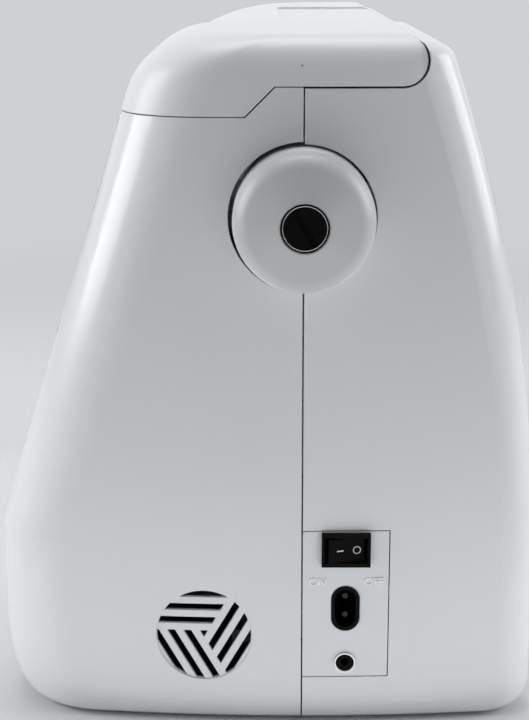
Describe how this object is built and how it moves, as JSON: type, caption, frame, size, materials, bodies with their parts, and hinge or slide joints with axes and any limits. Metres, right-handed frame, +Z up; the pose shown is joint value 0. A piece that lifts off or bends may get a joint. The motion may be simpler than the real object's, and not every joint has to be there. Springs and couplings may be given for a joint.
{
  "type": "sewing machine",
  "caption": "Free-arm domestic sewing machine in white plastic covers with handwheel, flip-up lid, mains inlet panel, needle drive, hook, presser and pull-off storage box.",
  "frame": {"origin": "on the table under the middle of the machine's bounding box", "axes": "+X along the length towards the handwheel, +Y towards the rear, +Z up"},
  "size_m": [0.445, 0.2379, 0.298],
  "materials": {
    "white_shell": "glossy moulded",
    "black_plastic": "satin moulded",
    "rubber": "matte",
    "bright_metal": "polished plating",
    "steel": "ground",
    "bronze": "sintered",
    "casting": "as cast",
    "casting_light": "turned",
    "dark_metal": "satin paint",
    "clear_plastic": "clear moulded",
    "grey_panel": "satin moulded",
    "screen": "flat display glass",
    "board": "lacquered laminate"
  },
  "bodies": {
    "machine": {"front_cover": "white_shell", "rear_cover": "white_shell", "face_cover": "white_shell", "bed_cover": "white_shell", "needle_plate": "steel", "base_tray": "black_plastic", "base_screws": "steel", "rubber_feet": "rubber", "inlet_panel": "white_shell", "switch_bezel": "black_plastic", "mains_inlet": "black_plastic", "inlet_pins": "bright_metal", "pedal_jack": "black_plastic", "jack_ring": "bright_metal", "frame": "casting", "shaft_bushes": "bronze", "motor": "dark_metal", "motor_belt": "rubber", "timing_belt": "rubber", "bobbin_case": "black_plastic", "fascia": "grey_panel", "display": "screen", "main_board": "board", "top_deck": "white_shell", "spool_pin": "white_shell"},
    "lid": {"top_lid": "white_shell"},
    "wheel": {"handwheel": "white_shell", "clutch_screw": "black_plastic", "main_shaft": "steel", "drive_pulley": "casting_light", "crank": "steel"},
    "lower_drive": {"lower_shaft": "steel", "lower_pulley": "casting_light", "hook_drive_gear": "black_plastic"},
    "rotor": {"motor_pulley": "casting_light"},
    "hook": {"hook": "steel"},
    "bobbin": {"bobbin": "clear_plastic"},
    "needle_slide": {"needle_bar": "steel", "needle_clamp": "steel", "needle": "steel", "connecting_rod": "steel"},
    "take_up": {"take_up_lever": "steel"},
    "lifter": {"presser_lifter": "white_shell"},
    "presser": {"presser_bar": "steel"},
    "foot": {"presser_foot": "steel"},
    "dial": {"tension_dial": "white_shell"},
    "start": {"start_button": "white_shell"},
    "reverse": {"reverse_button": "white_shell"},
    "needle_stop": {"needle_button": "white_shell"},
    "minus": {"key_minus": "white_shell"},
    "plus": {"key_plus": "white_shell"},
    "slider": {"speed_slider": "white_shell"},
    "winder": {"winder_spindle": "white_shell"},
    "handle": {"carry_handle": "white_shell"},
    "rocker": {"switch_rocker": "black_plastic"},
    "storage": {"accessory_box": "white_shell"},
    "flap": {"accessory_flap": "white_shell"},
    "shutter": {"bobbin_cover": "clear_plastic"},
    "feed": {"feed_dogs": "steel"},
    "drop_lever": {"drop_feed_lever": "white_shell"}
  },
  "joints": [
    {"name": "lid_hinge", "type": "hinge", "parent": "machine", "child": "lid", "pos_m": [0, 0.05525, 0.288], "axis": [-1, 0, 0], "range_deg": [0, 70]},
    {"name": "wheel_turn", "type": "hinge", "parent": "machine", "child": "wheel", "pos_m": [0.19, 0.01575, 0.225], "axis": [1, 0, 0], "continuous": true},
    {"name": "lower_shaft_turn", "type": "hinge", "parent": "machine", "child": "lower_drive", "pos_m": [0, 0.01575, 0.038], "axis": [1, 0, 0], "continuous": true},
    {"name": "motor_turn", "type": "hinge", "parent": "machine", "child": "rotor", "pos_m": [0.168, 0.07775, 0.07], "axis": [1, 0, 0], "continuous": true},
    {"name": "hook_turn", "type": "hinge", "parent": "machine", "child": "hook", "pos_m": [-0.165, -0.00565, 0.05], "axis": [0, 0, 1], "continuous": true},
    {"name": "bobbin_turn", "type": "hinge", "parent": "machine", "child": "bobbin", "pos_m": [-0.165, -0.00565, 0.066], "axis": [0, 0, 1], "continuous": true},
    {"name": "needle_stroke", "type": "slide", "parent": "machine", "child": "needle_slide", "axis": [0, 0, -1], "range_m": [0, 0.028]},
    {"name": "take_up_swing", "type": "hinge", "parent": "machine", "child": "take_up", "pos_m": [-0.181, -0.01425, 0.23], "axis": [-1, 0, 0], "range_deg": [-35, 12]},
    {"name": "lifter_raise", "type": "hinge", "parent": "machine", "child": "lifter", "pos_m": [-0.155, 0.05375, 0.164], "axis": [1, 0, 0], "range_deg": [0, 40]},
    {"name": "presser_rise", "type": "slide", "parent": "machine", "child": "presser", "axis": [0, 0, 1], "range_m": [0, 0.0055]},
    {"name": "foot_tilt", "type": "hinge", "parent": "presser", "child": "foot", "pos_m": [-0.165, 0.02275, 0.0872], "axis": [-1, 0, 0], "range_deg": [0, 8]},
    {"name": "tension_turn", "type": "hinge", "parent": "machine", "child": "dial", "pos_m": [-0.14, -0.05643, 0.23641], "axis": [1, 0, 0], "range_deg": [0, 300]},
    {"name": "start_press", "type": "slide", "parent": "machine", "child": "start", "axis": [0, 0.9537, -0.3007], "range_m": [0, 0.0012], "stiffness_N_per_m": 300},
    {"name": "reverse_press", "type": "slide", "parent": "machine", "child": "reverse", "axis": [0, 0.9537, -0.3007], "range_m": [0, 0.0012], "stiffness_N_per_m": 300},
    {"name": "needle_stop_press", "type": "slide", "parent": "machine", "child": "needle_stop", "axis": [0, 0.9537, -0.3007], "range_m": [0, 0.0012], "stiffness_N_per_m": 300},
    {"name": "minus_press", "type": "slide", "parent": "machine", "child": "minus", "axis": [0, 0.9537, -0.3007], "range_m": [0, 0.001], "stiffness_N_per_m": 300},
    {"name": "plus_press", "type": "slide", "parent": "machine", "child": "plus", "axis": [0, 0.9537, -0.3007], "range_m": [0, 0.001], "stiffness_N_per_m": 300},
    {"name": "speed_set", "type": "slide", "parent": "machine", "child": "slider", "axis": [1, 0, 0], "range_m": [-0.02, 0.02]},
    {"name": "winder_turn", "type": "hinge", "parent": "machine", "child": "winder", "pos_m": [0.13, -0.01925, 0.262], "axis": [0, 0, 1], "continuous": true},
    {"name": "handle_swing", "type": "hinge", "parent": "machine", "child": "handle", "pos_m": [-0.075, 0.08575, 0.268], "axis": [1, 0, 0], "range_deg": [0, 165]},
    {"name": "switch_rock", "type": "hinge", "parent": "machine", "child": "rocker", "pos_m": [0.1945, 0.03465, 0.0815], "axis": [0, 0, -1], "range_deg": [0, 14]},
    {"name": "storage_pull", "type": "slide", "parent": "machine", "child": "storage", "axis": [-1, 0, 0], "range_m": [0, 0.2]},
    {"name": "flap_lift", "type": "hinge", "parent": "storage", "child": "flap", "pos_m": [-0.12, -0.03505, 0.0808], "axis": [-1, 0, 0], "range_deg": [0, 55]},
    {"name": "shutter_lift", "type": "slide", "parent": "machine", "child": "shutter", "axis": [0, 0, 1], "range_m": [0, 0.02]},
    {"name": "feed_drop", "type": "slide", "parent": "machine", "child": "feed", "axis": [0, 0, -1], "range_m": [0, 0.0022]},
    {"name": "drop_lever_slide", "type": "slide", "parent": "machine", "child": "drop_lever", "axis": [1, 0, 0], "range_m": [0, 0.01]}
  ],
  "couplings": [
    {"joint": "lower_shaft_turn", "follows": "wheel_turn", "ratio": 1},
    {"joint": "motor_turn", "follows": "wheel_turn", "ratio": 3.7143},
    {"joint": "hook_turn", "follows": "wheel_turn", "ratio": 2},
    {"joint": "lifter_raise", "follows": "presser_rise", "rad_per_m": 126.93},
    {"joint": "feed_drop", "follows": "drop_lever_slide", "ratio": 0.22}
  ]
}
